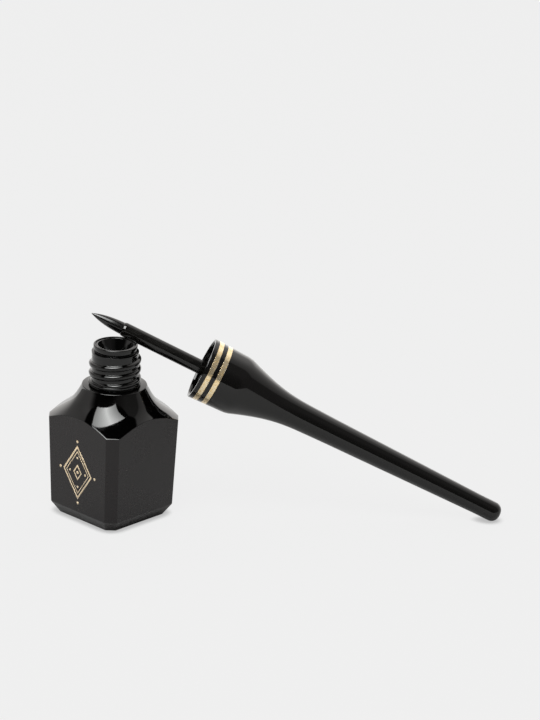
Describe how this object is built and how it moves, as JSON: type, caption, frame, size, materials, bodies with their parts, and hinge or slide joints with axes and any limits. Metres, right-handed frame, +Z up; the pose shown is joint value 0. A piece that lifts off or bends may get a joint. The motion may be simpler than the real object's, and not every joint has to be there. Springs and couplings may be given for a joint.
{
  "type": "eyeliner",
  "caption": "Open liquid eyeliner: a square bottle with cut corners, curved shoulder and threaded neck, and a long-handled screw cap whose stem and pointed nib lean on the neck.",
  "frame": {"origin": "middle of the bottle's flat underside, on the floor", "axes": "+Z up; +X along the floor from the bottle towards the far end of the leaning handle; +Y away from the side that the picture shows"},
  "size_m": [0.1147, 0.0324, 0.0506],
  "materials": {
    "satin_black_plastic": "moulded black, satin sides and a glossy shoulder",
    "wiper_plastic": "soft moulded black",
    "gloss_black_plastic": "high gloss black",
    "gold_foil": "bright gold-tinted foil",
    "insert_plastic": "moulded black",
    "washer_foam": "closed-cell foam",
    "stem_plastic": "glossy black, wet",
    "inked_felt": "felt soaked in black ink"
  },
  "bodies": {
    "bottle": {"bottle": "satin_black_plastic", "wiper": "wiper_plastic"},
    "washer": {"cap_washer": "washer_foam"},
    "applicator": {"handle_shell": "gloss_black_plastic", "gold_band_front": "gold_foil", "gold_band_rear": "gold_foil", "inner_cap": "insert_plastic", "stem": "stem_plastic", "nib": "inked_felt"}
  },
  "joints": [
    {"name": "applicator_lift", "type": "slide", "parent": "bottle", "child": "washer", "axis": [0, 0, 1], "range_m": [0, 0.06]},
    {"name": "applicator_turn", "type": "hinge", "parent": "washer", "child": "applicator", "pos_m": [0.02138, 0.0063, 0.03746], "axis": [0.9059, 0, -0.4235], "continuous": true}
  ]
}
